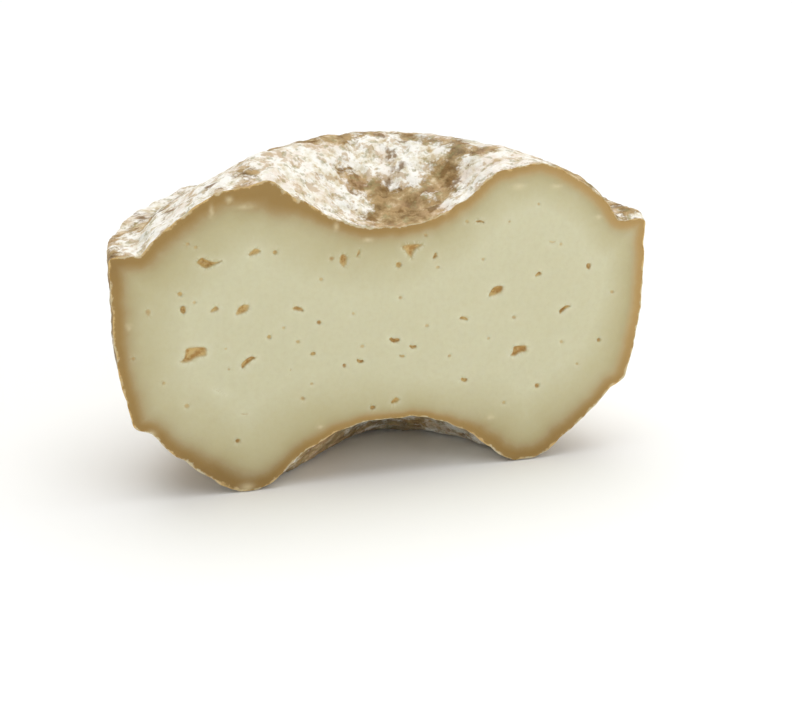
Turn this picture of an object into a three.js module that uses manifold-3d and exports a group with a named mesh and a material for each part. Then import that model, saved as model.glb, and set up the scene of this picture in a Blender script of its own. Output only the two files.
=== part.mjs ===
// Half of a small pressed farmhouse cheese wheel, cut upright through its middle.
//
// A wheel like this is pressed in a mould with a hollowed base and lid. Its top and its underside
// each get a raised ring around a shallow bowl, a long bevel outside the ring, and a narrow ledge
// where the mould's lid met its wall. The cheese is one piece: its rind is its own dried skin.
//
// Millimetres, +Z up. The cut faces -Y, and the origin is at the middle of the base of the box
// around the half. The helper functions work in the wheel's own frame, with its axis on Z and the
// cut in the plane y = 0, and the finished mesh is moved into place at the end.

import * as THREE from 'three';
import { mergeVertices } from 'three/addons/utils/BufferGeometryUtils.js';
import Module from 'manifold-3d';

// ---- driving dimensions ----
const WALL_RADIUS = 75.2; // the wheel's side wall, at half height
const FOOT_RADIUS = 71; // the wall draws in towards the bottom
const TOP_LEDGE_RADIUS = 67; // inner edge of the top ledge
const FOOT_LEDGE_RADIUS = 66.5; // inner edge of the bottom ledge
const TOP_LEDGE_HEIGHT = 68.5;
const FOOT_LEDGE_HEIGHT = 20;
const RING_RADIUS = 38; // crest of the raised ring on the top
const RING_HEIGHT = 86.2;
const BOWL_HEIGHT = 71.6; // lowest point of the bowl in the top
const BASE_INNER_RADIUS = 36; // the flat ring that the wheel stands on
const BASE_OUTER_RADIUS = 43.5;
const UNDER_BOWL_HEIGHT = 17; // highest point of the bowl in the underside

const BACK_RISE = 4; // the top ring stands higher at the back, away from the cut
const RING_SHIFT = 3; // the top ring lies further out on the right than on the left
const LEDGE_LIFT = 3.6; // the top ledge stands higher away from the cut
const UNDER_BOWL_SHIFT = 11; // the bowl in the underside is drawn in on the left, behind the cut
const UNDER_BOWL_ARC = [75, 180]; // the angles between which it is drawn in, in degrees from +X
const WALL_WAVE = 0.5; // the wall is a little out of round

const TURN_STEPS = 96; // facets around the whole wheel
const EYE_SIDES = 7; // corners of an eye's outline
const EYE_JITTER = 0.28; // how far an eye's corners stray from an ellipse, as a share of its size

// ---- eyes that the cut opened: across and up on the cut face, width, height, depth, tilt ----
const EYES = [
  { x: -49.5, z: 65.5, width: 6.2, height: 3.4, depth: 3.0, tilt: -15 },
  { x: -37.0, z: 67.5, width: 3.8, height: 2.0, depth: 1.8, tilt: 20 },
  { x: -31.5, z: 67.0, width: 1.8, height: 1.6, depth: 1.2, tilt: 0 },
  { x: -57.0, z: 57.5, width: 1.7, height: 1.6, depth: 1.2, tilt: 0 },
  { x: -56.5, z: 53.0, width: 2.2, height: 2.5, depth: 2.2, tilt: 0 },
  { x: -48.0, z: 52.5, width: 2.7, height: 1.9, depth: 1.5, tilt: 5 },
  { x: -40.5, z: 52.0, width: 4.4, height: 3.0, depth: 2.4, tilt: 30 },
  { x: -25.5, z: 51.0, width: 3.4, height: 1.6, depth: 1.4, tilt: -20 },
  { x: -12.5, z: 63.0, width: 2.4, height: 3.8, depth: 2.2, tilt: 10 },
  { x: -8.5, z: 65.0, width: 1.5, height: 2.9, depth: 1.5, tilt: -20 },
  { x: -33.5, z: 43.5, width: 1.7, height: 1.6, depth: 1.2, tilt: 0 },
  { x: -54.5, z: 40.5, width: 6.8, height: 3.7, depth: 3.2, tilt: 5 },
  { x: -39.0, z: 37.0, width: 4.8, height: 2.2, depth: 2.0, tilt: 25 },
  { x: -20.0, z: 46.5, width: 1.7, height: 1.6, depth: 1.2, tilt: 0 },
  { x: -8.5, z: 34.5, width: 2.3, height: 1.7, depth: 1.4, tilt: 10 },
  { x: -43.0, z: 15.0, width: 1.9, height: 1.6, depth: 1.3, tilt: 0 },
  { x: -5.0, z: 20.5, width: 2.0, height: 1.6, depth: 1.3, tilt: 0 },
  { x: 2.0, z: 22.0, width: 2.9, height: 1.8, depth: 1.6, tilt: 20 },
  { x: 1.5, z: 39.5, width: 3.4, height: 1.7, depth: 1.6, tilt: -5 },
  { x: 6.5, z: 64.0, width: 6.0, height: 3.8, depth: 2.8, tilt: 10 },
  { x: 2.5, z: 61.0, width: 2.0, height: 2.0, depth: 1.8, tilt: 0 },
  { x: 13.0, z: 62.5, width: 1.7, height: 2.0, depth: 1.4, tilt: 0 },
  { x: 6.5, z: 37.0, width: 2.6, height: 1.7, depth: 1.4, tilt: 10 },
  { x: 26.0, z: 71.0, width: 2.9, height: 1.4, depth: 1.3, tilt: 5 },
  { x: 47.5, z: 64.0, width: 2.4, height: 1.3, depth: 1.2, tilt: 0 },
  { x: 31.0, z: 51.0, width: 4.6, height: 3.4, depth: 2.6, tilt: 35 },
  { x: 52.0, z: 44.0, width: 3.6, height: 2.2, depth: 2.0, tilt: -20 },
  { x: 38.0, z: 33.0, width: 5.2, height: 3.0, depth: 2.6, tilt: 15 },
  { x: 22.0, z: 26.0, width: 2.2, height: 1.8, depth: 1.5, tilt: 0 },
  { x: 58.0, z: 57.0, width: 2.0, height: 1.7, depth: 1.4, tilt: 0 },
];

// A smooth curve through a few points of the section, without its last point.
function stretch(points, steps) {
  const curve = new THREE.SplineCurve(points.map(([radius, height]) => new THREE.Vector2(radius, height)));
  return curve.getPoints(steps).slice(0, -1);
}

// Half of the wheel's section, from the middle of the base, out and up, to the middle of the top.
function sectionProfile() {
  const underBowl = stretch([
    [0, UNDER_BOWL_HEIGHT],
    [8, UNDER_BOWL_HEIGHT - 0.5],
    [16, UNDER_BOWL_HEIGHT - 2.9],
    [24, UNDER_BOWL_HEIGHT - 6.9],
    [30.5, 4.5],
    [BASE_INNER_RADIUS, 0],
  ], 9);
  const baseRing = stretch([[BASE_INNER_RADIUS, 0], [BASE_OUTER_RADIUS, 0]], 1);
  const underBevel = stretch([
    [BASE_OUTER_RADIUS, 0],
    [50, 4],
    [57, 9.8],
    [62, 14.2],
    [FOOT_LEDGE_RADIUS, FOOT_LEDGE_HEIGHT - 0.5],
  ], 6);
  const footLedge = stretch([[FOOT_LEDGE_RADIUS, FOOT_LEDGE_HEIGHT - 0.5], [FOOT_RADIUS, FOOT_LEDGE_HEIGHT + 1.7]], 1);
  const wall = stretch([
    [FOOT_RADIUS, FOOT_LEDGE_HEIGHT + 1.7],
    [73.2, 30.5],
    [74.6, 40],
    [WALL_RADIUS, 52],
    [WALL_RADIUS, TOP_LEDGE_HEIGHT],
  ], 8);
  const topLedge = stretch([[WALL_RADIUS, TOP_LEDGE_HEIGHT], [TOP_LEDGE_RADIUS, TOP_LEDGE_HEIGHT]], 1);
  const topBevel = stretch([
    [TOP_LEDGE_RADIUS, TOP_LEDGE_HEIGHT],
    [63.5, 73],
    [57.5, 77.8],
    [50, 82.6],
    [44, 85.4],
    [RING_RADIUS, RING_HEIGHT],
  ], 8);
  const bowl = stretch([
    [RING_RADIUS, RING_HEIGHT],
    [32, 85],
    [26.5, 82],
    [20, 77.8],
    [13.5, 74.2],
    [6.5, 72],
    [0, BOWL_HEIGHT],
  ], 11);
  return [
    ...underBowl, ...baseRing, ...underBevel, ...footLedge, ...wall, ...topLedge, ...topBevel, ...bowl,
    new THREE.Vector2(0, BOWL_HEIGHT),
  ];
}

// Moves one point of the turned wheel so that it is no longer perfectly round.
function settle(point) {
  const radius = Math.hypot(point.x, point.y);
  const angle = Math.atan2(point.y, point.x);
  const behindCut = Math.max(0, Math.sin(angle));
  const onTop = point.z > (FOOT_LEDGE_HEIGHT + TOP_LEDGE_HEIGHT) / 2;
  let newRadius = radius;
  if (onTop && radius < TOP_LEDGE_RADIUS) {
    const swell = Math.sin(Math.PI * radius / TOP_LEDGE_RADIUS);
    point.z += BACK_RISE * behindCut * swell * swell;
    newRadius += RING_SHIFT * (0.25 + 0.75 * Math.cos(angle)) * swell;
  }
  if (onTop) {
    const liftStart = 50 - 8 * Math.cos(angle);
    const outer = THREE.MathUtils.smoothstep(radius, liftStart, TOP_LEDGE_RADIUS);
    point.z += LEDGE_LIFT * outer * behindCut ** (0.75 - 0.25 * Math.cos(angle));
  }
  if (!onTop && radius < BASE_OUTER_RADIUS) {
    const [arcStart, arcEnd] = UNDER_BOWL_ARC.map(THREE.MathUtils.degToRad);
    const along = THREE.MathUtils.clamp((angle - arcStart) / (arcEnd - arcStart), 0, 1);
    const outwards = radius / BASE_INNER_RADIUS;
    const backToBase = (BASE_OUTER_RADIUS - radius) / (BASE_OUTER_RADIUS - BASE_INNER_RADIUS);
    newRadius -= UNDER_BOWL_SHIFT * Math.sin(Math.PI * along ** 1.2) * Math.min(outwards, backToBase);
  }
  if (radius > FOOT_LEDGE_RADIUS) newRadius += WALL_WAVE * Math.sin(3 * angle) * Math.sin(angle);
  if (radius > 0) {
    point.x *= newRadius / radius;
    point.y *= newRadius / radius;
  }
}

// A small angular pocket with its outline on the cut, narrowing to a point inside the cheese.
function eyePocket(eye, index) {
  const pocket = new THREE.SphereGeometry(1, EYE_SIDES, 4);
  const position = pocket.attributes.position;
  const point = new THREE.Vector3();
  for (let i = 0; i < position.count; i += 1) {
    point.fromBufferAttribute(position, i);
    const corner = Math.round(Math.atan2(point.x, point.z) * EYE_SIDES / (2 * Math.PI));
    const reach = 1 + EYE_JITTER * Math.sin(2.4 * corner + 1.7 * index);
    position.setXYZ(i, point.x * reach, point.y, point.z * reach);
  }
  pocket.scale(eye.width / 2, eye.depth, eye.height / 2);
  pocket.rotateY(-THREE.MathUtils.degToRad(eye.tilt));
  pocket.translate(eye.x, 0, eye.z);
  return pocket;
}

const wasm = await Module();
wasm.setup();

// A closed three.js geometry as a manifold solid.
function solid(geometry) {
  const bare = geometry.clone();
  bare.deleteAttribute('normal');
  bare.deleteAttribute('uv');
  const merged = mergeVertices(bare, 1e-4);
  return new wasm.Manifold(new wasm.Mesh({
    numProp: 3,
    vertProperties: new Float32Array(merged.attributes.position.array),
    triVerts: withoutFlatTriangles(merged.index.array),
  }));
}

// Merging the points on the axis leaves triangles with two equal corners, which are dropped.
function withoutFlatTriangles(index) {
  const kept = [];
  for (let i = 0; i < index.length; i += 3) {
    const [a, b, c] = [index[i], index[i + 1], index[i + 2]];
    if (a !== b && b !== c && c !== a) kept.push(a, b, c);
  }
  return new Uint32Array(kept);
}

// The whole wheel before it is cut, turned from its section and then settled out of round.
function wholeWheel() {
  const halfStep = Math.PI / TURN_STEPS;
  const wheel = new THREE.LatheGeometry(sectionProfile(), TURN_STEPS, halfStep);
  wheel.rotateX(Math.PI / 2);
  const position = wheel.attributes.position;
  const point = new THREE.Vector3();
  for (let i = 0; i < position.count; i += 1) {
    point.fromBufferAttribute(position, i);
    settle(point);
    position.setXYZ(i, point.x, point.y, point.z);
  }
  return wheel;
}

// The block that is cut away: everything in front of the plane y = 0.
function frontBlock() {
  const size = 4 * WALL_RADIUS;
  const block = new THREE.BoxGeometry(size, size, size);
  block.translate(0, -size / 2, 0);
  return block;
}

function halfWheelGeometry() {
  let half = solid(wholeWheel()).subtract(solid(frontBlock()));
  EYES.forEach((eye, index) => {
    half = half.subtract(solid(eyePocket(eye, index)));
  });
  const mesh = half.getMesh();
  const geometry = new THREE.BufferGeometry();
  geometry.setAttribute('position', new THREE.BufferAttribute(mesh.vertProperties, 3));
  geometry.setIndex(new THREE.BufferAttribute(mesh.triVerts, 1));
  geometry.computeBoundingBox();
  const { min, max } = geometry.boundingBox;
  geometry.translate(-(min.x + max.x) / 2, -(min.y + max.y) / 2, -min.z);
  geometry.computeVertexNormals();
  return geometry;
}

const paste = new THREE.MeshStandardMaterial({ color: 0xcbc49d, roughness: 0.55, metalness: 0 });
const cheeseHalfWheel = new THREE.Mesh(halfWheelGeometry(), paste);
cheeseHalfWheel.name = 'cheese_half_wheel';

const object = new THREE.Group();
object.add(cheeseHalfWheel);
export default object;
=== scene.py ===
"""The looks of half a small pressed cheese wheel, cut upright through its middle.

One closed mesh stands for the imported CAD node. Its rind is a grid wrapped over the wheel's turned
section and roughened by layered noise. Its cut face is a fine net of triangles with the eyes sunk
into it. Lengths are in millimetres until the mesh is made, in the wheel's own frame: the axis is
on Z and the cut lies in the plane y = 0, with the cheese behind it.
"""

import math

import bpy
import numpy as np
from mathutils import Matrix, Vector, noise
from mathutils.geometry import delaunay_2d_cdt


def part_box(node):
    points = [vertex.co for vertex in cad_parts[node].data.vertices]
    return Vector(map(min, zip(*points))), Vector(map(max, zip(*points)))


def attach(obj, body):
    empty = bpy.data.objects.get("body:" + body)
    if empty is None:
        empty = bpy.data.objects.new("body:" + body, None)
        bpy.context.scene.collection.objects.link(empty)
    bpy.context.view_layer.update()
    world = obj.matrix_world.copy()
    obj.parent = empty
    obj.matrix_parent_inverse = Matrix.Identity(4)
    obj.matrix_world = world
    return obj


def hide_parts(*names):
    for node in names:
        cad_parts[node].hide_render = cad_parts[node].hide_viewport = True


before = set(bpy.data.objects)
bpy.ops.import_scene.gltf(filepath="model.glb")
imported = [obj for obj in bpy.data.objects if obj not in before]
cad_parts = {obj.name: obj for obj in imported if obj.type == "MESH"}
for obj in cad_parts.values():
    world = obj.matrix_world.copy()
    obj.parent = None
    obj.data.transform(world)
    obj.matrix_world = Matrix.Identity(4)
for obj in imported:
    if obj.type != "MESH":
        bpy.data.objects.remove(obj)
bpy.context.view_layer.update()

NODE = "cheese_half_wheel"
MM = 0.001

# ---- the wheel's section, as in the CAD model ----
WALL_RADIUS = 75.2
FOOT_RADIUS = 71.0
TOP_LEDGE_RADIUS = 67.0
FOOT_LEDGE_RADIUS = 66.5
TOP_LEDGE_HEIGHT = 68.5
FOOT_LEDGE_HEIGHT = 20.0
RING_RADIUS = 38.0
RING_HEIGHT = 86.2
BOWL_HEIGHT = 71.6
BASE_INNER_RADIUS = 36.0
BASE_OUTER_RADIUS = 43.5
UNDER_BOWL_HEIGHT = 17.0
BACK_RISE = 4.0
RING_SHIFT = 3.0
LEDGE_LIFT = 3.6
UNDER_BOWL_SHIFT = 11.0
UNDER_BOWL_ARC = (75, 180)
WALL_WAVE = 0.5
CORNER_ROUNDING = 0.9  # spread of the running average that rounds the section's corners

# ---- fineness of the mesh ----
HALF_STEPS = 100  # grid steps from the wheel's axis to its wall
WALL_STEPS = 66  # grid steps from the top ledge to the foot
SECTION_STEP = 0.2  # between the points of the section's outline
CUT_SPACING = 1.0  # between the points of the cut face
CUT_RIM_SPACING = 0.5  # between those within CUT_RIM_WIDTH of its rim
CUT_RIM_WIDTH = 3.0
EYE_SPACING = 0.3  # between those in an eye and along its outline
NET_JITTER = 0.15  # how far a point strays from its place, as a share of the spacing
MAP_GAP = 2.0  # between the pieces of the colour map
MAP_MARGIN = 1.0  # left of the cut face on the colour map

# ---- what shows on the cut face, across and up from the middle of the wheel's base ----
EYE_GROWTH = 1.04  # makes up for the corners that are worn off an eye's outline
EYE_WOBBLE = 0.09  # how far an eye's outline strays from a smooth one
EYE_REACH = 9.0  # an eye changes nothing further than this from its middle

# Outlines of eyes that the knife opened, from -1 to 1 across and up.
EYE_OUTLINES = {
    "round": [(math.cos(a), math.sin(a)) for a in np.linspace(0, 2 * math.pi, 8, endpoint=False)],
    "tailed": [(-1, 0.1), (-0.6, 1), (-0.2, 0.5), (0.2, 0.1), (0.6, 0.15), (1, 0.3), (0.8, -0.1),
               (0.2, -0.6), (-0.35, -1), (-0.7, -0.4)],
    "leaning": [(-0.95, -0.4), (-0.4, 0.4), (0.05, 1), (0.55, 0.7), (1, 0), (0.45, -0.6),
                (-0.2, -0.85), (-0.75, -1)],
    "block": [(-0.55, 0.98), (0.2, 1), (0.97, 0.92), (1, 0.1), (0.9, -0.45), (0.1, -0.5),
              (-0.17, -1), (-0.77, -0.98), (-1, -0.73), (-0.67, -0.37), (-0.57, 0.25)],
    "leaf": [(-1, -0.3), (-0.4, 0.77), (0.13, 1), (1, 0.92), (0.93, 0.08), (0.67, -0.38), (0, -0.7),
             (-0.93, -1)],
    "bent": [(-0.93, -0.92), (-0.98, 0), (-0.2, 0.85), (0.34, 1), (0.97, 0.46), (0.34, 0.3),
             (-0.2, -0.3), (-0.72, -1)],
    "rod": [(-1, 0.2), (-0.35, 1), (1, 0.1), (0.85, -1), (0.3, -0.7), (-0.9, -0.2)],
    "hoof": [(-0.97, 0.8), (-0.55, 1), (0.97, 0.9), (1, 0.63), (0.48, 0.3), (0.2, 0.05),
             (0.07, -0.5), (-0.07, -1), (-0.28, -0.6), (-0.55, -0.2), (-0.7, 0.23), (-0.9, 0.23)],
    "upright": [(-1, 0.1), (-0.7, 0.8), (-0.1, 1), (0.75, 0.8), (1, 0.2), (0.7, -0.6), (0.15, -1),
                (-0.7, -0.5)],
    "sliver": [(0.2, 1), (1, 0.25), (0.2, -0.35), (-0.6, -1), (-1, -0.65), (-0.35, 0.4)],
    "scratch": [(-1, 1), (-0.3, 0.5), (1, -0.8), (0.9, -1), (0.2, -0.3), (-0.9, 0.6)],
    "bean": [(-1, 0.4), (-0.55, 1), (0.05, 0.35), (0.8, 0.6), (1, -0.3), (0.65, -0.8), (0.05, -1),
             (-0.7, -0.5)],
}

# The eyes: outline, across, up, width, height and depth.
EYES = [
    ("tailed", -49.0, 65.5, 7.4, 3.6, 1.37),
    ("leaning", -37.0, 67.5, 4.1, 2.4, 0.72),
    ("round", -31.5, 66.9, 1.7, 1.6, 0.58),
    ("upright", -65.8, 53.2, 1.8, 2.5, 0.22),
    ("round", -57.2, 57.6, 1.7, 1.6, 0.58),
    ("upright", -56.6, 53.1, 1.9, 2.7, 0.94),
    ("leaning", -48.2, 52.7, 3.0, 2.1, 0.6),
    ("leaf", -40.7, 51.8, 4.1, 3.3, 0.86),
    ("rod", -25.6, 50.8, 3.6, 2.3, 0.6),
    ("upright", -12.8, 63.1, 2.6, 4.2, 0.79),
    ("sliver", -8.6, 64.8, 1.8, 2.9, 0.43),
    ("round", -33.6, 43.6, 1.6, 1.7, 0.58),
    ("block", -54.4, 40.6, 7.7, 4.4, 1.15),
    ("bent", -39.1, 37.0, 5.0, 3.5, 0.94),
    ("round", -19.8, 46.5, 1.7, 1.7, 0.58),
    ("round", -21.6, 37.8, 1.9, 1.3, 0.58),
    ("round", -25.7, 41.6, 1.7, 1.5, 0.36),
    ("bean", -8.3, 34.4, 2.4, 1.8, 0.72),
    ("round", -12.8, 33.5, 1.5, 1.6, 0.5),
    ("round", -43.0, 14.9, 1.8, 1.6, 0.65),
    ("round", -4.8, 20.5, 2.0, 1.6, 0.72),
    ("leaning", 1.8, 21.9, 3.1, 2.1, 0.86),
    ("bean", 1.5, 39.6, 3.5, 2.0, 0.86),
    ("hoof", 6.6, 64.2, 6.3, 4.6, 0.86),
    ("round", 2.7, 60.8, 2.1, 2.1, 0.79),
    ("leaning", 13.1, 62.6, 1.8, 2.2, 0.65),
    ("bean", 6.8, 37.2, 2.6, 1.7, 0.65),
    ("bean", 3.6, 34.8, 2.1, 1.4, 0.43),
    ("rod", 25.9, 71.2, 3.0, 1.3, 0.58),
    ("bean", 47.3, 64.0, 2.5, 1.2, 0.18),
    ("round", 49.9, 63.1, 1.4, 1.4, 0.22),
    ("leaf", 31.0, 51.0, 4.6, 3.4, 1.08),
    ("bent", 52.0, 44.0, 4.0, 2.6, 0.86),
    ("block", 38.0, 33.0, 5.4, 3.2, 1.08),
    ("bean", 22.0, 26.0, 2.4, 1.8, 0.72),
    ("upright", 58.5, 56.0, 1.8, 2.3, 0.72),
    ("rod", 21.5, 44.0, 3.0, 1.8, 0.65),
    ("round", 44.0, 22.0, 1.9, 1.7, 0.65),
    ("round", 62.5, 34.0, 1.6, 1.6, 0.58),
    ("leaning", 43.5, 55.0, 2.6, 1.8, 0.65),
    # Shallow slits where the curds didn't quite knit.
    ("scratch", -47.7, 29.6, 3.6, 1.9, 0.11),
    ("bean", -41.0, 22.5, 2.6, 0.8, 0.09),
    ("sliver", -28.0, 33.5, 0.9, 2.6, 0.11),
]

# Pinholes: across, up and width.
PINHOLES = [
    (-54.7, 70.9, 1.5), (-52.6, 69.9, 1.5), (-29.6, 45.9, 1.4), (-19.1, 58.5, 1.6), (-70.2, 41.0, 1.4),
    (-62.5, 33.4, 1.4), (-56.6, 26.4, 1.8), (-24.7, 25.3, 1.8), (-22.1, 29.3, 1.4), (-7.7, 38.6, 1.6),
    (13.9, 59.3, 1.5), (10.4, 68.5, 1.5), (3.2, 51.6, 1.6), (-10.2, 48.2, 1.4), (10.8, 42.9, 1.6),
    (22.2, 71.5, 1.5), (34.5, 70.6, 1.2), (-16.0, 64.0, 1.8), (-53.5, 55.0, 1.4), (-45.6, 41.5, 1.2),
    (-44.9, 35.6, 1.2), (27.0, 60.5, 1.5), (36.5, 43.0, 1.8), (51.0, 34.5, 1.6), (29.0, 37.5, 1.4),
    (34.0, 18.0, 1.5), (56.0, 27.5, 1.4), (66.0, 48.0, 1.6), (17.5, 33.5, 1.5), (43.0, 75.0, 1.4),
]

# All of them, the pinholes round and shallow.
HOLES = EYES + [("round", x, z, width, width * 0.9, width * 0.17) for x, z, width in PINHOLES]

# How the brown band inside the rind varies: across, up and radius of a stretch of it, how much
# narrower (+) or wider (-) the band is there, and how much more golden (+) or darker (-).
# Low on the cut, the wider and darker stretches are partly painted shade.
RIM_BAND = [
    (52, 72, 28, 0.7, 1.0), (72, 45, 22, 0.35, 1.0), (22, 76, 14, 0.15, 0.3), (0, 75, 18, 0.3, 0.1),
    (-24, 78, 10, -0.15, 0.0), (-38, 84, 12, -0.05, 0.0), (-32, 82, 7, -0.45, -0.1),
    (-58, 76, 12, -0.1, 0.0), (-76, 66, 5, -0.1, -0.5), (-67, 66, 5, 0.2, 0.0),
    (-60, 10, 14, 0.05, -0.25), (-43, 4, 14, -0.25, -0.7), (-26, 6, 9, 0.6, 0.0),
    (-10, 15, 12, 0.8, 0.3), (8, 18, 16, 1.0, 0.3), (45, 2, 16, 0.1, -0.3),
]

# Crumbs and smears that the knife left on the paste: across, up, width, height and thickness.
CRUMBS = [
    (-14.8, 72.8, 1.5, 2.0, 0.5), (-48.2, 79.2, 1.1, 3.0, 0.25), (-43.5, 82.0, 1.8, 1.5, 0.35),
    (16.0, 75.3, 1.5, 2.4, 0.5), (-39.0, 80.0, 4.5, 1.0, 0.12), (37.0, 80.2, 4.0, 1.2, 0.12),
    (48.0, 79.5, 3.0, 1.0, 0.12), (-6.0, 68.5, 2.5, 0.9, 0.12), (61.0, 70.0, 2.0, 1.2, 0.2),
    (-20.0, 16.5, 1.8, 1.2, 0.3), (30.0, 14.0, 2.0, 1.4, 0.3), (-71.0, 49.8, 1.3, 1.5, 0.2),
    (-41.0, 1.2, 4.0, 2.2, 0.5), (-26.5, 6.5, 3.0, 2.4, 0.5), (-66.5, 19.5, 2.4, 2.0, 0.4),
]

# ---- the rind, seen from above: x, y, radius and strength of each soft round patch ----
# Where mould has grown (+) on the top or is missing (-).
TOP_MOULD = [
    (-23, 18, 10, 0.5), (-24, 6, 8, 0.6), (-13, 26, 6, 0.5), (-9, 10, 5, 0.4), (-5, 13.5, 3, 1.0),
    (13, 22, 5, 0.7), (12, 27, 4, 0.4), (27, 11, 5, 0.7), (31, 7, 4, 0.4), (19, 5, 2.5, 0.5),
    (-34, 4, 5, 0.6), (-61, 9, 5, 1.0), (-55, 14, 5, 0.8), (-50, 20, 6, 0.8), (-58, 4, 4, 0.6),
    (-66, 8, 5, 0.4), (-64, 40, 8, 0.4), (-45, 13, 6, 0.6), (-42, 24, 6, 0.5), (-30, 27, 6, 0.4),
    (6, 31, 5, 0.6), (20, 25, 4, 0.4), (36, 9, 5, 0.4), (-70, 4, 4, 0.5), (-4, 20, 3, -1.0),
    (2, 18, 3.2, -1.2), (2, 13, 3, -1.0), (4, 8, 5, -1.2), (9, 11, 5, -1.0), (10, 3, 6, -1.0),
    (21, 14, 5, -1.3), (9, 25, 3, -0.7), (-5, 35, 6, -0.9), (7, 37, 4, -0.8), (-25, 34, 5, -0.6),
    (-15, 35, 4, -0.8), (17, 33, 5, -0.8), (27, 27, 4, -0.7), (37, 19, 4, -0.6), (27, 22, 4, -0.6),
    (33, 18, 4, -0.5), (-38, 11, 3, -0.4), (-36, 27, 4, -0.3), (-51, 7, 3, -0.5), (57, 4, 9, -0.9),
    (-68, 20, 4, -0.4), (43, 6, 4, -0.4), (-63, 27, 4, -0.5), (-63, 15, 5, 1.0), (-57, 38, 7, 0.4),
    (-47, 52, 9, 0.5), (72, 6, 5, -0.3),
]

# Dark stains on the top.
TOP_STAINS = [
    (8, 26, 2.2, 1.2), (9, 22, 1.8, 1.0), (4, 21, 2, 0.6), (-5, 20, 3, 0.9), (21, 17, 2.5, 1.0),
    (21, 11, 2.5, 1.1), (14, 5, 2.5, 1.0), (-3, 7, 2, 0.9), (6, 9, 3, 0.4), (-57, 14, 2.5, 1.1),
    (-60, 36, 2.5, 0.9), (-65, 26, 2, 0.7), (-47, 9, 2, 0.8), (-75.5, 1, 1.5, 1.2), (-12, 35, 2.5, 0.8),
    (8, 35, 2.2, 0.8), (29, 24, 2.5, 0.8), (-27, 33, 3, 0.6), (-50, 32, 3, 0.5), (40, 14, 3, 0.5),
]

# Where the pressed rind stands proud (+) or is dented (-), by this many millimetres.
TOP_BUMPS = [
    (-40.5, 0, 4.5, -1.8), (-33, 0, 2.5, 2.2), (-27.5, 0, 3, -0.9), (-18, 0, 2, -1.9),
    (30.2, 0, 4.2, 3.6), (42, 0, 4, 1.2), (-74, 1, 4, 0.8), (75, 4, 5, 1.5), (-42, 23, 4.5, -1.3),
    (-17, 38, 6, -0.7), (58, 1, 6, 1.2), (-69, 29, 5, -1.4), (-43, 61, 8, 1.2), (-40, 29, 6, -1.6),
    (-29, 34, 8, -1.1), (-24, 3, 8, -0.8), (-30, 20, 6, 0.5), (21, 14, 5, -0.9), (6, 26, 3, -0.9),
    (12, 22, 5, 0.7), (-4, 21, 4, -0.7), (-58, 9, 3, -0.6), (30, 12, 6, 0.4), (-8, 12, 4, 0.5),
    (14, 5, 3, -0.4), (-50, 20, 6, 0.5), (33, 21, 4, -0.5),
]
WALL_BUMPS = [(-73, 16, 12, -0.9), (-60, 42, 14, -0.5), (64, 38, 12, 0.6)]


def smooth_rise(value, low, high):
    """0 below low, 1 above high, and an S-curve between them."""
    t = np.clip((value - low) / (high - low), 0, 1)
    return t * t * (3 - 2 * t)


def spline(points, steps=60):
    """A smooth curve through a few points, as an array of (radius, height)."""
    points = np.array(points, float)
    padded = np.vstack([points[0], points, points[-1]])
    t = np.linspace(0, len(points) - 1, steps)
    k = np.minimum(t.astype(int), len(points) - 2)
    f = (t - k)[:, None]
    a, b, c, d = (padded[k + i] for i in range(4))
    bend = (c - a) / 2
    ease = (d - b) / 2
    return (2 * b - 2 * c + bend + ease) * f**3 + (3 * c - 3 * b - 2 * bend - ease) * f**2 + bend * f + b


def evenly(points, step):
    """The same polyline with its points a step apart, and the distance along it of each."""
    lengths = np.concatenate([[0], np.cumsum(np.linalg.norm(np.diff(points, axis=0), axis=1))])
    along = np.linspace(0, lengths[-1], max(2, round(lengths[-1] / step) + 1))
    return np.column_stack([np.interp(along, lengths, column) for column in points.T]), along


def section():
    """The section from the middle of the top, out and down, to the middle of the underside.

    Returns the distance along it, the radius, the height, and how far along the wall starts and ends.
    """
    top = np.vstack([
        spline([(0, BOWL_HEIGHT), (6.5, 72), (13.5, 74.2), (20, 77.8), (26.5, 82), (32, 85),
                (RING_RADIUS, RING_HEIGHT)]),
        spline([(RING_RADIUS, RING_HEIGHT), (44, 85.4), (50, 82.6), (57.5, 77.8), (63.5, 73),
                (TOP_LEDGE_RADIUS, TOP_LEDGE_HEIGHT)]),
        [(WALL_RADIUS, TOP_LEDGE_HEIGHT)],
    ])
    foot = (FOOT_RADIUS, FOOT_LEDGE_HEIGHT + 1.7)
    wall = spline([(WALL_RADIUS, TOP_LEDGE_HEIGHT), (WALL_RADIUS, 52), (74.6, 40), (73.2, 30.5), foot])
    ledge = (FOOT_LEDGE_RADIUS, FOOT_LEDGE_HEIGHT - 0.5)
    under = np.vstack([
        [foot],
        spline([ledge, (62, 14.2), (57, 9.8), (50, 4), (46.5, 1.4), (BASE_OUTER_RADIUS - 1.5, 0)]),
        spline([(BASE_INNER_RADIUS + 1.5, 0), (34, 1.4), (30.5, 4.5), (24, UNDER_BOWL_HEIGHT - 6.9),
                (16, UNDER_BOWL_HEIGHT - 2.9), (8, UNDER_BOWL_HEIGHT - 0.5), (0, UNDER_BOWL_HEIGHT)]),
    ])
    top_length = evenly(top, SECTION_STEP)[1][-1]
    wall_length = evenly(wall, SECTION_STEP)[1][-1]
    outline, along = evenly(np.vstack([top, wall[1:], under[1:]]), SECTION_STEP)
    return along, *rounded(outline).T, top_length, top_length + wall_length


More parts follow.
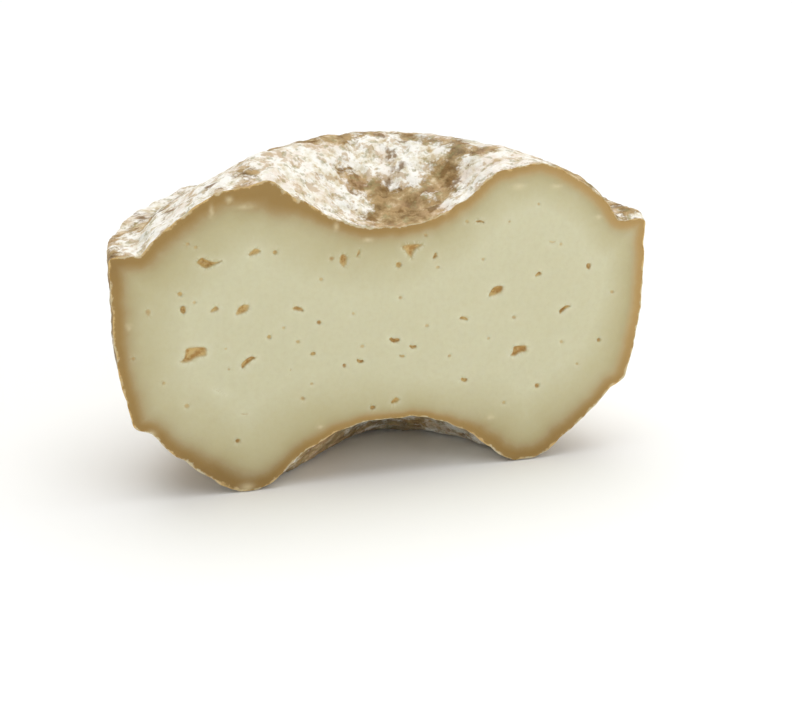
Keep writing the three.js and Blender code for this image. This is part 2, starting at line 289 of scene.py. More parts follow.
def rounded(outline):
    """The outline with its corners rounded off by a running average. Its two ends stay on the axis."""
    reach = round(3 * CORNER_ROUNDING / SECTION_STEP)
    offsets = np.arange(-reach, reach + 1) * SECTION_STEP
    weights = np.exp(-0.5 * (offsets / CORNER_ROUNDING) ** 2)
    mirror = np.array([-1, 1])
    padded = np.vstack([outline[reach:0:-1] * mirror, outline, outline[-2:-reach - 2:-1] * mirror])
    soft = [np.convolve(column, weights / weights.sum(), "valid") for column in padded.T]
    return np.column_stack(soft)


ALONG, SECTION_RADIUS, SECTION_HEIGHT, WALL_START, WALL_END = section()
SECTION_LENGTH = ALONG[-1]


def wheel_surface(along, angle):
    """The smooth wheel's points at these distances along the section and angles round the axis."""
    radius = np.interp(along, ALONG, SECTION_RADIUS)
    z = np.interp(along, ALONG, SECTION_HEIGHT)
    on_top = along < (WALL_START + WALL_END) / 2

    # The ring and the ledge of the top stand higher away from the cut.
    behind_cut = np.maximum(0, np.sin(angle))
    swell = np.sin(np.pi * np.minimum(radius / TOP_LEDGE_RADIUS, 1)) * on_top
    lift = smooth_rise(radius, 50 - 8 * np.cos(angle), TOP_LEDGE_RADIUS)
    fade = smooth_rise(z, FOOT_LEDGE_HEIGHT, TOP_LEDGE_HEIGHT)
    z = z + BACK_RISE * behind_cut * swell**2
    z = z + LEDGE_LIFT * lift * fade * behind_cut ** (0.75 - 0.25 * np.cos(angle))

    # The bowl in the underside is drawn in on the left, behind the cut.
    start, end = np.radians(UNDER_BOWL_ARC)
    arc = np.sin(np.pi * np.clip((angle - start) / (end - start), 0, 1) ** 1.2)
    to_base = (BASE_OUTER_RADIUS - radius) / (BASE_OUTER_RADIUS - BASE_INNER_RADIUS)
    drawn_in = np.clip(np.minimum(radius / BASE_INNER_RADIUS, to_base), 0, 1) * ~on_top

    # The wall is a little out of round, and the ring lies further out on the right.
    on_wall = smooth_rise(radius, 62, FOOT_RADIUS)
    out_of_round = WALL_WAVE * np.sin(3 * angle) * np.sin(angle) * on_wall
    ring_shift = RING_SHIFT * (0.25 + 0.75 * np.cos(angle)) * swell
    radius = radius + ring_shift - UNDER_BOWL_SHIFT * arc * drawn_in + out_of_round
    return np.column_stack([radius * np.cos(angle), radius * np.sin(angle), z])


def fractal(points, size, octaves=3, seed=0.0):
    """Layered noise at each point, mostly from -1 to 1, its largest lumps about size across.

    Each layer of the rind and of the cut has its own seed, so that none repeats another.
    """
    shift = Vector((seed * 17.3, seed * -9.1, seed * 5.7))
    return np.array([noise.fractal(Vector(p) / size + shift, 1, 2, octaves) for p in points.tolist()])


def ridges(points, octaves=3, seed=0.0):
    """Noise with sharp crests, scaled to run from 0 to 1."""
    shift = Vector((seed * 11.9, seed * 7.7, seed * -3.1))
    raw = [noise.ridged_multi_fractal(Vector(p) + shift, 1, 2, octaves, 1, 2) for p in points.tolist()]
    low, high = np.percentile(raw, (2, 98))
    return np.clip((np.array(raw) - low) / (high - low), 0, 1)


def blobs(points, places):
    """A sum of soft round patches, each given as two coordinates, a radius and a strength."""
    total = np.zeros(len(points))
    for x, y, radius, strength in places:
        apart = np.hypot(points[:, 0] - x, points[:, 1] - y)
        total += strength * np.exp(-(apart / radius) ** 2)
    return total


class Rind:
    """The grid of the rind: its vertices, its faces, and the loop of vertices that lies in the cut."""

    def __init__(self):
        self.along = []
        self.angle = []
        self.faces = []
        self.count = 0
        top = self.patch(0, WALL_START)
        under = self.patch(SECTION_LENGTH, WALL_END)
        self.cover(top, flip=False)
        self.cover(under, flip=True)
        wall = self.wall(self.arc_of(top), self.arc_of(under))
        self.cover(wall, flip=True)
        self.loop = np.concatenate([top[0], wall[1:, 0], under[0, ::-1][1:], wall[::-1, -1][1:-1]])
        self.along = np.concatenate(self.along)
        self.angle = np.concatenate(self.angle)

    def add(self, along, angle):
        """Adds a block of vertices and returns their numbers in the same shape."""
        numbers = self.count + np.arange(along.size).reshape(along.shape)
        self.count += along.size
        self.along.append(along.ravel())
        self.angle.append(angle.ravel())
        return numbers

    def patch(self, middle, edge):
        """A half disc, as a grid that is two squares wide. Row 0 lies in the cut."""
        u, v = np.meshgrid(np.linspace(-1, 1, 2 * HALF_STEPS + 1), np.linspace(0, 1, HALF_STEPS + 1))
        x = u * np.sqrt(1 - v**2 / 2)
        y = v * np.sqrt(1 - u**2 / 2)
        return self.add(middle + (edge - middle) * np.hypot(x, y), np.arctan2(y, x))

    def arc_of(self, patch):
        """The vertices round the outside of a half disc, from the right end of the cut to the left."""
        return np.concatenate([patch[:-1, -1], patch[-1, ::-1], patch[-2::-1, 0]])

    def wall(self, upper, lower):
        """The grid between the two half discs, its first and last rows theirs."""
        angles = np.concatenate(self.angle)[upper]
        rows = np.linspace(WALL_START, WALL_END, WALL_STEPS + 1)[1:-1]
        along, angle = np.meshgrid(rows, angles, indexing="ij")
        return np.vstack([upper, self.add(along, angle), lower])

    def cover(self, grid, flip):
        """Adds a grid's squares as faces, turned round where they would look inwards."""
        quads = np.stack([grid[:-1, :-1], grid[:-1, 1:], grid[1:, 1:], grid[1:, :-1]], axis=-1)
        quads = quads.reshape(-1, 4)
        self.faces.append(quads[:, ::-1] if flip else quads)


def vertex_normals(points, faces):
    """The outward direction at each point of a net of quads."""
    corners = points[faces]
    across = np.cross(corners[:, 2] - corners[:, 0], corners[:, 3] - corners[:, 1])
    normals = np.zeros_like(points)
    for column in faces.T:
        np.add.at(normals, column, across)
    return normals / np.linalg.norm(normals, axis=1)[:, None]


class Skin:
    """Where the rind's points lie on the smooth wheel, and the noise that its shape and growth share."""

    def __init__(self, rind):
        self.points = wheel_surface(rind.along, rind.angle)
        self.behind_cut = self.points[:, 1]
        radius = np.hypot(self.points[:, 0], self.points[:, 1])
        self.on_top = 1 - smooth_rise(rind.along, WALL_START - 2, WALL_START + 6)
        self.under = smooth_rise(rind.along, WALL_END - 4, WALL_END + 2)
        self.on_wall = (1 - self.on_top) * (1 - self.under)
        self.in_bowl = self.on_top * (1 - smooth_rise(radius, RING_RADIUS - 8, RING_RADIUS + 4))
        self.ledge_gap = np.minimum(np.abs(rind.along - WALL_START), np.abs(rind.along - WALL_END))

        # Folds run outwards from the middle of the bowl, as the cloth lay in the mould.
        self.spokes = np.column_stack([rind.along / 11, rind.angle * 7, np.full(rind.count, 4)])
        folds = ridges(self.spokes, seed=2) * smooth_rise(radius, 6, 16)
        creases = ridges(self.points / (9, 9, 7), seed=5)
        self.drape = creases + 0.6 * self.in_bowl * (folds - creases)
        self.pits = fractal(self.points, 5, 3, seed=3)


def rind_relief(skin):
    """How far each point of the rind stands out from the smooth wheel."""
    lumps = fractal(skin.points, 17, 3, seed=1)
    grain = fractal(skin.points, 1.8, 2, seed=4)
    relief = 0.5 * lumps + (0.3 + skin.in_bowl) * (skin.drape - 0.5)
    relief += (0.42 + 0.3 * skin.in_bowl) * skin.pits + 0.12 * grain
    relief += skin.on_top * blobs(skin.points, TOP_BUMPS) + skin.on_wall * blobs(skin.points, WALL_BUMPS)

    # The pressed ledges have a ragged rim.
    ragged = np.exp(-(skin.ledge_gap / 1.8) ** 2) * fractal(skin.points, 9, 2, seed=7)
    relief += 0.6 * ragged

    # The knife left the rind smoother near the cut, but with a finely crumbled edge.
    relief *= 0.45 + 0.55 * smooth_rise(skin.behind_cut, 0, 5)
    relief += 0.35 * np.exp(-skin.behind_cut / 2.5) * fractal(skin.points, 3.5, 2, seed=9)
    return relief


def shape_rind(rind, skin):
    """The rind's final points. Its edge stays in the cut, but for a thin lip that the knife drew out."""
    push = vertex_normals(skin.points, np.vstack(rind.faces))
    push[rind.loop, 1] = 0
    shaped = skin.points + push * rind_relief(skin)[:, None]
    lip = 0.05 + 0.15 * fractal(skin.points[rind.loop], 3, 2, seed=8)
    shaped[rind.loop, 1] -= np.maximum(lip, 0)
    shaped[:, 2] = np.maximum(shaped[:, 2], 0)
    return shaped


def rind_growth(skin):
    """How much mould, dark stain with painted shade, and grey there is at each point of the rind."""
    points, on_top = skin.points, skin.on_top
    patches = fractal(points, 34, 3, seed=10) + 0.5 * fractal(points, 13, 4, seed=11)
    mould = 0.62 + (1.3 - 0.6 * on_top) * patches + 0.35 * (skin.drape - 0.5) + 0.55 * skin.pits
    mould += on_top * (1.25 * blobs(points, TOP_MOULD) - 0.02) - 0.2 * (1 - on_top) - 0.1 * skin.under
    mould += 0.3 * skin.on_wall * np.exp(-(skin.behind_cut / 10) ** 2)

    # Painted shade: the rind is darkened in its hollows and creases, in patches. The dark spots listed
    # on the top are real stains.
    hollows = smooth_rise(-skin.pits, 0.25, 0.75)
    hollows *= smooth_rise(fractal(points, 11, 2, seed=13), -0.1, 0.5)
    clefts = smooth_rise(0.5 - skin.drape, 0.12, 0.45)
    clefts *= smooth_rise(fractal(points, 9, 3, seed=14), 0, 0.5)
    stain_and_shade = 0.7 * hollows + 0.6 * clefts
    stain_and_shade += on_top * blobs(points, TOP_STAINS) * (0.8 + fractal(skin.spokes, 0.4, 2, seed=15))
    grey = smooth_rise(fractal(points, 20, 3, seed=17) + 0.3 - 0.45 * on_top, 0, 0.7)
    return {"mould": mould, "stain_and_shade": stain_and_shade, "grey": grey}


def inside(points, outline):
    """Which points lie inside a closed outline."""
    within = np.zeros(len(points), bool)
    for (x1, y1), (x2, y2) in zip(outline, np.roll(outline, -1, axis=0)):
        if y1 == y2:
            continue
        crosses = (points[:, 1] > y1) != (points[:, 1] > y2)
        left_of = points[:, 0] < x1 + (points[:, 1] - y1) * (x2 - x1) / (y2 - y1)
        within ^= crosses & left_of
    return within


def gap_to(points, outline):
    """How far each point is from the nearest stretch of a closed outline."""
    nearest = np.full(len(points), np.inf)
    for start, end in zip(outline, np.roll(outline, -1, axis=0)):
        run = end - start
        t = np.clip(((points - start) @ run) / (run @ run), 0, 1)
        nearest = np.minimum(nearest, np.hypot(*(points - start - t[:, None] * run).T))
    return nearest


def worn(corners):
    """A closed outline with its corners cut off twice over."""
    for _ in range(2):
        after = np.roll(corners, -1, axis=0)
        pairs = np.stack([corners * 0.75 + after * 0.25, corners * 0.25 + after * 0.75], axis=1)
        corners = pairs.reshape(-1, 2)
    return corners


def eye_outline(shape, x, z, width, height):
    """An eye's ragged outline in the cut plane."""
    corners = worn(np.array(EYE_OUTLINES[shape], float)) * (width / 2, height / 2) * EYE_GROWTH + (x, z)
    closed = evenly(np.vstack([corners, corners[:1]]), EYE_SPACING)[0][:-1]
    flat = np.column_stack([closed, np.zeros(len(closed))])
    wobble = np.column_stack([fractal(flat, 0.9, 2, seed=21), fractal(flat, 0.9, 2, seed=22)])
    return closed + EYE_WOBBLE * wobble


def net(low, high, spacing, rng):
    """Points over a box, in staggered rows, each a little out of its place."""
    rows = np.arange(low[1], high[1], spacing * math.sqrt(3) / 2)
    columns = np.arange(low[0], high[0], spacing)
    x, z = np.meshgrid(columns, rows)
    x = x + (np.arange(len(rows)) % 2)[:, None] * spacing / 2
    points = np.column_stack([x.ravel(), z.ravel()])
    return points + rng.uniform(-NET_JITTER, NET_JITTER, points.shape) * spacing


def ring_edges(first, count):
    """The edges that join a run of vertices into a closed ring."""
    return [(first + i, first + (i + 1) % count) for i in range(count)]


def fill_cut(rim, outlines):
    """Points all over the cut face: closer together near its rim, and closest in the eyes."""
    rng = np.random.default_rng(12)
    low, high = rim.min(axis=0), rim.max(axis=0)
    coarse = net(low, high, CUT_SPACING, rng)
    coarse = coarse[inside(coarse, rim)]
    coarse = coarse[gap_to(coarse, rim) > CUT_RIM_WIDTH]
    fine = net(low, high, CUT_RIM_SPACING, rng)
    fine = fine[inside(fine, rim)]
    fine_gap = gap_to(fine, rim)
    fine = fine[(fine_gap > 0.6 * CUT_RIM_SPACING) & (fine_gap < CUT_RIM_WIDTH)]
    fill = np.vstack([coarse, fine])
    for outline in outlines:
        near = np.flatnonzero(close_to(fill, outline))
        crowded = inside(fill[near], outline) | (gap_to(fill[near], outline) <= EYE_SPACING)
        fill = np.delete(fill, near[crowded], axis=0)

    in_eyes = []
    for outline in outlines:
        hollow = net(outline.min(axis=0), outline.max(axis=0), EYE_SPACING, rng)
        hollow = hollow[inside(hollow, outline)]
        in_eyes.append(hollow[gap_to(hollow, outline) > 0.5 * EYE_SPACING])
    return np.vstack([fill, *in_eyes])


def close_to(points, outline):
    """Which points lie close enough to an eye for it to change them."""
    return np.abs(points - outline.mean(axis=0)).max(axis=1) < EYE_REACH


def cut_face(rim, outlines):
    """The cut face, flat: its points, its triangles, and each point's number on the rim.

    The number of a point that isn't on the rim is the rim's length or more.
    """
    edges = ring_edges(0, len(rim))
    first = len(rim)
    for outline in outlines:
        edges += ring_edges(first, len(outline))
        first += len(outline)
    points = np.vstack([rim, *outlines, fill_cut(rim, outlines)])
    border = [list(range(len(rim)))]
    result = delaunay_2d_cdt([Vector(p) for p in points.tolist()], edges, border, 1, 1e-6)
    flat = np.array([tuple(point) for point in result[0]])
    on_rim = np.array([min(origin, default=len(rim)) for origin in result[3]])
    return flat, result[2], on_rim


def cut_marks(flat, rim_gap, outlines):
    """How far the eyes sink each point of the cut face, and what the paste's material reads there."""
    sunk = np.zeros(len(flat))
    eye_brown_and_shade = np.zeros(len(flat))
    halo = np.zeros(len(flat))
    for outline, (_, _, _, width, _, depth) in zip(outlines, HOLES):
        near = np.flatnonzero(close_to(flat, outline))
        gap = gap_to(flat[near], outline)
        within = inside(flat[near], outline)
        reach = (gap * within).max()
        bowl = 1 - (1 - np.clip(gap * within / reach, 0, 1)) ** 2
        sunk[near] += depth * bowl
        # The eye's brown is strongest in the middle of a hollow and in deeper eyes. It is partly the
        # paste's colour and partly painted shade.
        eye_brown_and_shade[near] = np.maximum(eye_brown_and_shade[near], bowl * min(1, 0.25 + 0.65 * depth))
        beside = np.exp(-gap / 0.8) * ~within * min(1, width / 4)
        halo[near] = np.maximum(halo[near], beside)
    narrowed = 1 + blobs(flat, [(x, z, radius, narrow) for x, z, radius, narrow, _ in RIM_BAND])
    # Below 0 the band turns darker. Low on the cut, this is partly painted shade.
    hue = blobs(flat, [(x, z, radius, golden) for x, z, radius, _, golden in RIM_BAND])
    return sunk, {
        "rim": rim_gap * narrowed,
        "golden": np.clip(hue, 0, 1),
        "dark_band_and_shade": np.clip(-hue, 0, 1),
        "eye": eye_brown_and_shade,
        "halo": halo,
    }


def cut_relief(flat, sunk, rim_gap):
    """How far each point of the cut face lies behind the cut plane, and how pale its crumbs are."""
    spots = np.column_stack([flat, np.zeros(len(flat))])
    waves = 0.18 * fractal(spots, 24, 2, seed=31) + 0.05 * fractal(spots, 2.2, 3, seed=32)
    drag = 0.05 * fractal(spots / (9, 1, 1), 1.6, 2, seed=33)
    back = (waves + drag) * smooth_rise(rim_gap, 0, 2.5) + sunk
    pale = np.zeros(len(flat))
    for x, z, width, height, thickness in CRUMBS:
        apart = np.hypot((flat[:, 0] - x) / width, (flat[:, 1] - z) / height) * 2
        lump = np.exp(-apart**2) * (rim_gap > 0.2)
        back -= thickness * lump
        pale = np.maximum(pale, lump)
    return back, pale


def colour_map(rind, cut_faces, points):
    """Each face corner's place on the colour map, which holds four flat pieces at one scale.

    The wall is a strip along the bottom. Above it stand the top and the underside, each unrolled
    about the wheel's axis into a half disc, the second one on its side, and above the top is the cut.
    """
    wall_height = WALL_END - WALL_START
    top_reach = WALL_START
    under_reach = SECTION_LENGTH - WALL_END
    above_wall = wall_height + MAP_GAP
    beside_top = 2 * top_reach + MAP_GAP
    top_faces, under_faces, wall_faces = (part.ravel() for part in rind.faces)

    along, angle = rind.along[top_faces], rind.angle[top_faces]
    top = np.column_stack([top_reach + along * np.cos(angle), above_wall + along * np.sin(angle)])
    back, angle = SECTION_LENGTH - rind.along[under_faces], rind.angle[under_faces]
    middle = above_wall + under_reach
    under = np.column_stack([beside_top + back * np.sin(angle), middle + back * np.cos(angle)])
    along, angle = rind.along[wall_faces], rind.angle[wall_faces]
    wall = np.column_stack([angle * WALL_RADIUS, along - WALL_START])
    corners = points[cut_faces.ravel()]
    above_top = above_wall + top_reach + MAP_GAP
    cut = np.column_stack([corners[:, 0] + WALL_RADIUS + MAP_MARGIN, above_top + corners[:, 2]])
    return np.vstack([top, under, wall, cut]) / (beside_top + under_reach)


def build_mesh():
    """The whole cheese as one closed mesh, in metres, in the CAD model's frame."""
    rind = Rind()
    skin = Skin(rind)
    shaped = shape_rind(rind, skin)
    rim = shaped[rind.loop][:, [0, 2]]
    outlines = [eye_outline(*hole[:5]) for hole in HOLES]
    flat, triangles, on_rim = cut_face(rim, outlines)
    rim_gap = gap_to(flat, rim)
    sunk, marks = cut_marks(flat, rim_gap, outlines)
    back, marks["crumb"] = cut_relief(flat, sunk, rim_gap)

    # Points on the rim are the rind's own. The cut's other points are numbered after the rind's.
    new = on_rim >= len(rim)
    number = np.where(new, rind.count + np.cumsum(new) - 1, 0)
    number[~new] = rind.loop[on_rim[~new]]
    face_points = np.column_stack([flat[:, 0], back, flat[:, 1]])[new]
    points = np.vstack([shaped, face_points])
    rind_faces = np.vstack(rind.faces)
    cut_faces = number[np.array(triangles)]

    cut_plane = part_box(NODE)[0][1] / MM
    mesh = bpy.data.meshes.new("cheese")
    in_frame = (points + (0, cut_plane, 0)) * MM
    mesh.from_pydata(in_frame, [], rind_faces.tolist() + cut_faces.tolist())
    is_rind = np.arange(len(mesh.polygons)) < len(rind_faces)
    mesh.polygons.foreach_set("material_index", is_rind.astype(int))
    places = mesh.uv_layers.new(name="OFBake")
    places.data.foreach_set("uv", colour_map(rind, cut_faces, points).ravel().astype(np.float32))

    for name, values in rind_growth(skin).items():
        add_layer(mesh, name, np.concatenate([values, np.zeros(len(face_points))]))
    for name, values in marks.items():
        add_layer(mesh, name, np.concatenate([np.zeros(rind.count), values[new]]))
    sharpen_rim(mesh, rind.loop)
    return mesh


def add_layer(mesh, name, values):
    """Stores one number for each vertex, for a material to read."""
    layer = mesh.attributes.new(name, "FLOAT", "POINT")
    layer.data.foreach_set("value", values.astype(np.float32))


def sharpen_rim(mesh, loop):
    """Keeps the shading of the rind and of the cut face apart along the knife's edge."""
    mesh.shade_smooth()
    place = np.full(len(mesh.vertices), -1)
    place[loop] = np.arange(len(loop))
    ends = np.empty(len(mesh.edges) * 2, int)
    mesh.edges.foreach_get("vertices", ends)
    first, second = place[ends.reshape(-1, 2)].T
    step = np.abs(first - second)
    sharp = (first >= 0) & (second >= 0) & ((step == 1) | (step == len(loop) - 1))
    mesh.edges.foreach_set("use_edge_sharp", sharp)


def tone(red, green, blue):
    """A colour given as screen values from 0 to 255, as the linear colour a shader wants."""
    screen = np.array([red, green, blue]) / 255
    linear = np.where(screen <= 0.04045, screen / 12.92, ((screen + 0.055) / 1.055) ** 2.4)
    return (*linear.tolist(), 1)


class Shader:
    """A material's node tree, with a short method for each kind of node that the cheese needs."""

    def __init__(self, name):
        self.material = bpy.data.materials.new(name)
        self.material.use_nodes = True
        self.nodes = self.material.node_tree.nodes
        self.surface = self.nodes["Principled BSDF"]
        self.place = self.nodes.new("ShaderNodeTexCoord").outputs["Object"]

    def put(self, socket, value):
        """Sets a socket to a number or colour, or links it to another node's output."""
        if isinstance(value, bpy.types.NodeSocket):
            self.material.node_tree.links.new(value, socket)
        else:
            socket.default_value = value

    def layer(self, name):
        """A number that the mesh stores for each vertex."""
        node = self.nodes.new("ShaderNodeAttribute")
        node.attribute_name = name
        return node.outputs["Fac"]

    def grain(self, size, detail, seed):
        """Noise from 0 to 1 with lumps about this many millimetres across."""
        mapping = self.nodes.new("ShaderNodeMapping")
        self.put(mapping.inputs["Vector"], self.place)
        mapping.inputs["Location"].default_value = (seed, seed * 0.7, -seed)
        mapping.inputs["Scale"].default_value = (1 / (size * MM),) * 3
        node = self.nodes.new("ShaderNodeTexNoise")
        self.put(node.inputs["Vector"], mapping.outputs["Vector"])
        node.inputs["Scale"].default_value = 1
        node.inputs["Detail"].default_value = detail
        node.inputs["Roughness"].default_value = 0.6
        return node.outputs["Fac"]

    def math(self, operation, first, second):
        """A sum, product or the like of two numbers."""
        node = self.nodes.new("ShaderNodeMath")
        node.operation = operation
        self.put(node.inputs[0], first)
        self.put(node.inputs[1], second)
        return node.outputs["Value"]

    def add(self, first, second):
        return self.math("ADD", first, second)

    def times(self, first, second):
        return self.math("MULTIPLY", first, second)

    def spread(self, value, amount):
        """Noise of 0 to 1 recentred on 0 and scaled."""
        return self.times(self.add(value, -0.5), amount)

    def rise(self, value, low, high):
        """An S-curve from 0 at low to 1 at high."""
        node = self.nodes.new("ShaderNodeMapRange")
        node.interpolation_type = "SMOOTHSTEP"
        self.put(node.inputs["Value"], value)
        node.inputs["From Min"].default_value = low
        node.inputs["From Max"].default_value = high
        return node.outputs["Result"]

    def mix(self, factor, first, second):
        """The first colour where the factor is 0 and the second where it is 1."""
        node = self.nodes.new("ShaderNodeMix")
        node.data_type = "RGBA"
        self.put(node.inputs["Factor"], factor)
        self.put(node.inputs["A"], first)
        self.put(node.inputs["B"], second)
        return node.outputs["Result"]

    def tint(self, colour, where, share, other):
        """A colour that takes on this share of another one where a number from 0 to 1 is 1."""
        return self.mix(self.times(where, share), colour, other)

    def ramp(self, value, stops):
        """A colour ramp over 0 to 1, its stops given as (place, colour)."""
        node = self.nodes.new("ShaderNodeValToRGB")
        self.put(node.inputs["Fac"], value)
        elements = node.color_ramp.elements
        while len(elements) < len(stops):
            elements.new(1)
        for element, (place, colour) in zip(elements, stops):
            element.position = place
            element.color = colour
        return node.outputs["Color"]

    def bump(self, height, millimetres):
        """A bump for the surface, whose height of 0 to 1 stands for this many millimetres."""
        node = self.nodes.new("ShaderNodeBump")
        self.put(node.inputs["Height"], height)
        node.inputs["Strength"].default_value = 1
        node.inputs["Distance"].default_value = millimetres * MM
        self.put(self.surface.inputs["Normal"], node.outputs["Normal"])


def paste_band(shader, gap):
    """The paste's colour by its distance from the rind: brown, then golden, then cream."""
    wander = shader.spread(shader.grain(20, 2, seed=3), 3)
    fray = shader.spread(shader.grain(3, 3, seed=5), 1.4)
    depth = shader.add(gap, shader.times(shader.add(wander, fray), shader.rise(gap, 0.2, 4)))
    deepest = 20
    band = shader.ramp(shader.times(depth, 1 / deepest), [
        (0.0, tone(153, 122, 64)),
        (0.09, tone(153, 122, 64)),
        (0.13, tone(158, 129, 75)),
        (0.17, tone(163, 139, 90)),
        (0.21, tone(170, 151, 108)),
        (0.3, tone(177, 165, 124)),
        (0.4, tone(184, 175, 134)),
        (0.62, tone(192, 185, 147)),
        (1.0, tone(203, 199, 166)),
    ])
    near_rim = shader.rise(gap, 7, 2)
    band = shader.tint(band, shader.times(shader.layer("golden"), near_rim), 0.3, tone(214, 178, 116))
    # A darker band, partly real and partly painted shade low on the cut.
    return shader.tint(band, shader.times(shader.layer("dark_band_and_shade"), near_rim), 0.45, tone(104, 74, 24))


def rind_line(shader, gap, colour):
    """The colour, with the ragged, crumbly line of the rind along the edge of the cut."""
    ragged = shader.add(gap, shader.spread(shader.grain(2.4, 4, seed=1), 3))
    line = shader.times(shader.rise(ragged, 0.6, 0.1), shader.rise(gap, 1.4, 0.9))
    paler = shader.rise(shader.grain(7, 3, seed=10), 0.4, 0.6)
    crumbly = shader.mix(paler, tone(208, 178, 122), tone(206, 198, 168))
    return shader.tint(colour, line, 0.75, crumbly)


def paste_material():
    """The cut paste: pale and slightly waxy inside, darker and browner towards the rind."""
    shader = Shader("cheese_paste")
    gap = shader.layer("rim")
    colour = rind_line(shader, gap, paste_band(shader, gap))
    deep = shader.rise(gap, 1, 7)
    cloud = shader.rise(shader.grain(30, 2, seed=8), 0.35, 0.7)
    colour = shader.tint(colour, shader.times(cloud, deep), 0.2, tone(212, 209, 180))
    mottle = shader.rise(shader.grain(1.6, 4, seed=9), 0.35, 0.75)
    colour = shader.tint(colour, shader.times(mottle, deep), 0.12, tone(176, 160, 112))
    colour = shader.tint(colour, shader.layer("halo"), 0.35, tone(222, 220, 196))
    colour = shader.tint(colour, shader.layer("crumb"), 0.5, tone(226, 214, 176))
    # Inside the eyes: a browner paste that darkens with depth. Part of this is painted shade in the
    # hollow.
    patchy = shader.rise(shader.grain(1.6, 2, seed=2), 0.35, 0.65)
    eye_tone_and_shade = shader.mix(patchy, tone(172, 131, 68), tone(204, 176, 116))
    colour = shader.mix(shader.rise(shader.layer("eye"), 0, 0.7), colour, eye_tone_and_shade)
    shader.put(shader.surface.inputs["Base Color"], colour)

    roughness = shader.add(shader.spread(shader.grain(2.5, 3, seed=4), 0.18), 0.52)
    shader.put(shader.surface.inputs["Roughness"], roughness)
    shader.surface.inputs["IOR"].default_value = 1.45
    shader.surface.inputs["Subsurface Weight"].default_value = 0.2
    shader.surface.inputs["Subsurface Radius"].default_value = (1, 0.7, 0.35)
    shader.surface.inputs["Subsurface Scale"].default_value = 2.5 * MM
    texture = shader.add(shader.times(shader.grain(0.8, 3, seed=6), 0.5), shader.grain(3.2, 3, seed=7))
    shader.bump(texture, 0.12)
    return shader.material


def rind_material():
    """The rind: white and cream mould over tan and brown, with dark stains, painted shade in its creases
    and hollows, and grey-green specks.
    """
    shader = Shader("cheese_rind")
    patch = shader.spread(shader.grain(7, 4, seed=11), 2.2)
    fleck = shader.spread(shader.grain(2.2, 3, seed=12), 2)
    dust = shader.spread(shader.grain(0.7, 2, seed=23), 1.2)
    growth = shader.add(shader.layer("mould"), shader.add(shader.add(patch, fleck), dust))
    crust = shader.ramp(shader.grain(4, 5, seed=13), [
        (0.3, tone(108, 82, 46)),
        (0.44, tone(146, 119, 76)),
        (0.56, tone(178, 152, 108)),
        (0.68, tone(218, 200, 166)),
    ])
    bloom = shader.ramp(shader.grain(3.5, 5, seed=14), [
        (0.32, tone(206, 190, 158)),
        (0.42, tone(232, 226, 208)),
        (0.52, tone(247, 244, 236)),
    ])
    grey = shader.times(shader.layer("grey"), shader.rise(shader.grain(12, 4, seed=16), 0.35, 0.65))
    crust = shader.tint(crust, grey, 0.7, tone(132, 122, 104))
    bloom = shader.tint(bloom, grey, 0.6, tone(196, 198, 190))
    colour = shader.mix(shader.rise(growth, 0.15, 1.0), crust, bloom)
    flush = shader.rise(shader.grain(9, 3, seed=15), 0.48, 0.68)
    colour = shader.tint(colour, flush, 0.35, tone(208, 172, 136))
    freckle = shader.rise(shader.grain(3.6, 3, seed=24), 0.53, 0.63)
    colour = shader.tint(colour, freckle, 0.65, tone(184, 154, 108))
    speck = shader.rise(shader.grain(2.4, 2, seed=17), 0.55, 0.67)
    colour = shader.tint(colour, speck, 0.55, tone(150, 142, 98))
    # Dark brown for the real stains, and painted shade in the rind's hollows and creases.
    shade = shader.add(shader.layer("stain_and_shade"), shader.spread(shader.grain(3.4, 4, seed=18), 2.2))
    dark = shader.mix(shader.grain(1.2, 2, seed=19), tone(96, 68, 30), tone(148, 114, 64))
    colour = shader.tint(colour, shader.rise(shade, 0.25, 0.75), 0.85, dark)
    shader.put(shader.surface.inputs["Base Color"], colour)

    roughness = shader.add(shader.spread(shader.grain(2, 3, seed=20), 0.2), 0.85)
    shader.put(shader.surface.inputs["Roughness"], roughness)
    shader.surface.inputs["Specular IOR Level"].default_value = 0.3
    fuzz = shader.add(shader.times(shader.grain(0.6, 3, seed=21), 0.25), shader.grain(2.2, 5, seed=22))
    shader.bump(shader.add(fuzz, shader.times(growth, 0.2)), 0.6)
    return shader.material


def add_cheese():
    """The cheese itself, in the place of the CAD solid."""
    mesh = build_mesh()
    mesh.materials.append(paste_material())
    mesh.materials.append(rind_material())
    piece = bpy.data.objects.new("cheese", mesh)
    bpy.context.collection.objects.link(piece)
    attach(piece, "root")
    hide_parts(NODE)


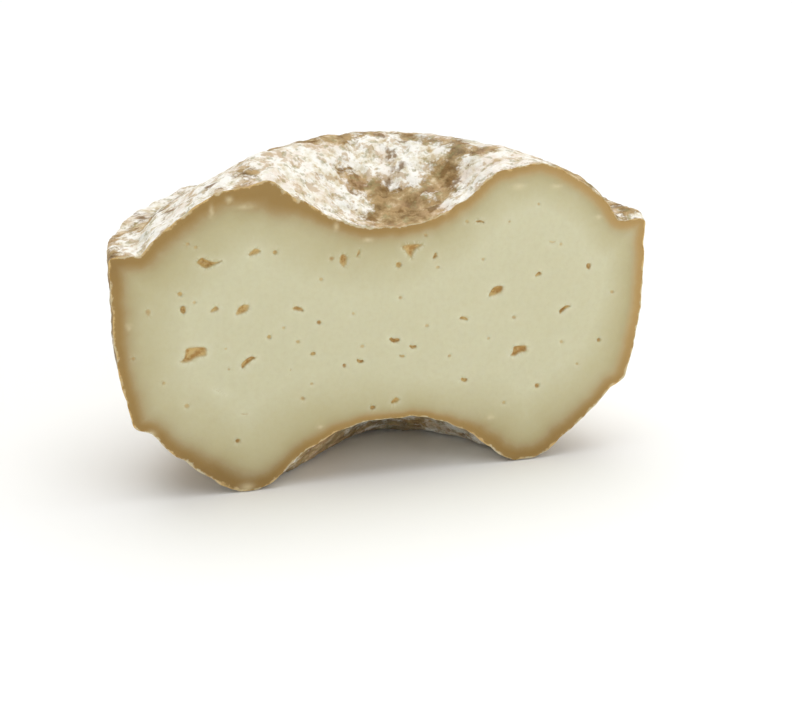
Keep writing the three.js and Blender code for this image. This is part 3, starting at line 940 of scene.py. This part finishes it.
def add_floor():
    """A plain pale floor, a hair under the cheese, that curves up far away into a low round wall."""
    level = -0.0002
    flat_radius = 1.8
    curve_radius = 1.4
    sides = 96
    turns = np.linspace(0, 2 * math.pi, sides, endpoint=False)
    bends = np.linspace(0, math.pi / 2, 17)
    corners = [(0, 0, level)]
    for bend in bends:
        radius = flat_radius + curve_radius * math.sin(bend)
        height = level + curve_radius * (1 - math.cos(bend))
        corners += [(radius * math.cos(turn), radius * math.sin(turn), height) for turn in turns]
    faces = [(0, i, j) for i, j in ring_edges(1, sides)]
    for ring in range(len(bends) - 1):
        faces += [(i, i + sides, j + sides, j) for i, j in ring_edges(1 + ring * sides, sides)]
    mesh = bpy.data.meshes.new("floor")
    mesh.from_pydata(corners, [], faces)
    mesh.shade_smooth()

    shader = Shader("floor")
    shader.surface.inputs["Base Color"].default_value = tone(246, 246, 244)
    shader.surface.inputs["Roughness"].default_value = 0.9
    mesh.materials.append(shader.material)
    floor = bpy.data.objects.new("floor", mesh)
    bpy.context.collection.objects.link(floor)


def add_light(name, kind, place, power):
    """A light that stands at a place and points at the middle of the cheese."""
    lamp = bpy.data.lights.new(name, kind)
    lamp.energy = power
    light = bpy.data.objects.new(name, lamp)
    light.location = place
    middle = Vector((0, 0, 0.05))
    light.rotation_euler = (middle - light.location).to_track_quat("-Z", "Y").to_euler()
    bpy.context.collection.objects.link(light)
    return lamp


def add_lights():
    """A very soft light high up and behind, a weak one in front on the right, and a pale sky."""
    overhead = add_light("overhead", "SUN", (0.2, 0.35, 1.5), 2)
    overhead.angle = math.radians(75)
    front = add_light("front", "AREA", (0.42, -0.62, 0.42), 1.1)
    front.size = 0.5
    world = bpy.data.worlds.new("studio")
    world.use_nodes = True
    sky = world.node_tree.nodes["Background"]
    sky.inputs["Color"].default_value = (1, 1, 1, 1)
    sky.inputs["Strength"].default_value = 0.46
    bpy.context.scene.world = world


def add_camera():
    """The camera stands left of the cheese, faces the cut, and looks down on it."""
    right_turn = 17.04
    look_down = 18.08
    lens = bpy.data.cameras.new("camera")
    lens.lens = 77.57
    lens.sensor_width = 36
    camera = bpy.data.objects.new("camera", lens)
    camera.location = (-0.12915, -0.46495, 0.18038)
    camera.rotation_euler = (math.radians(90 - look_down), 0, math.radians(-right_turn))
    bpy.context.collection.objects.link(camera)
    bpy.context.scene.camera = camera


add_camera()
add_lights()
add_floor()
add_cheese()
bpy.context.scene.view_settings.view_transform = "Standard"
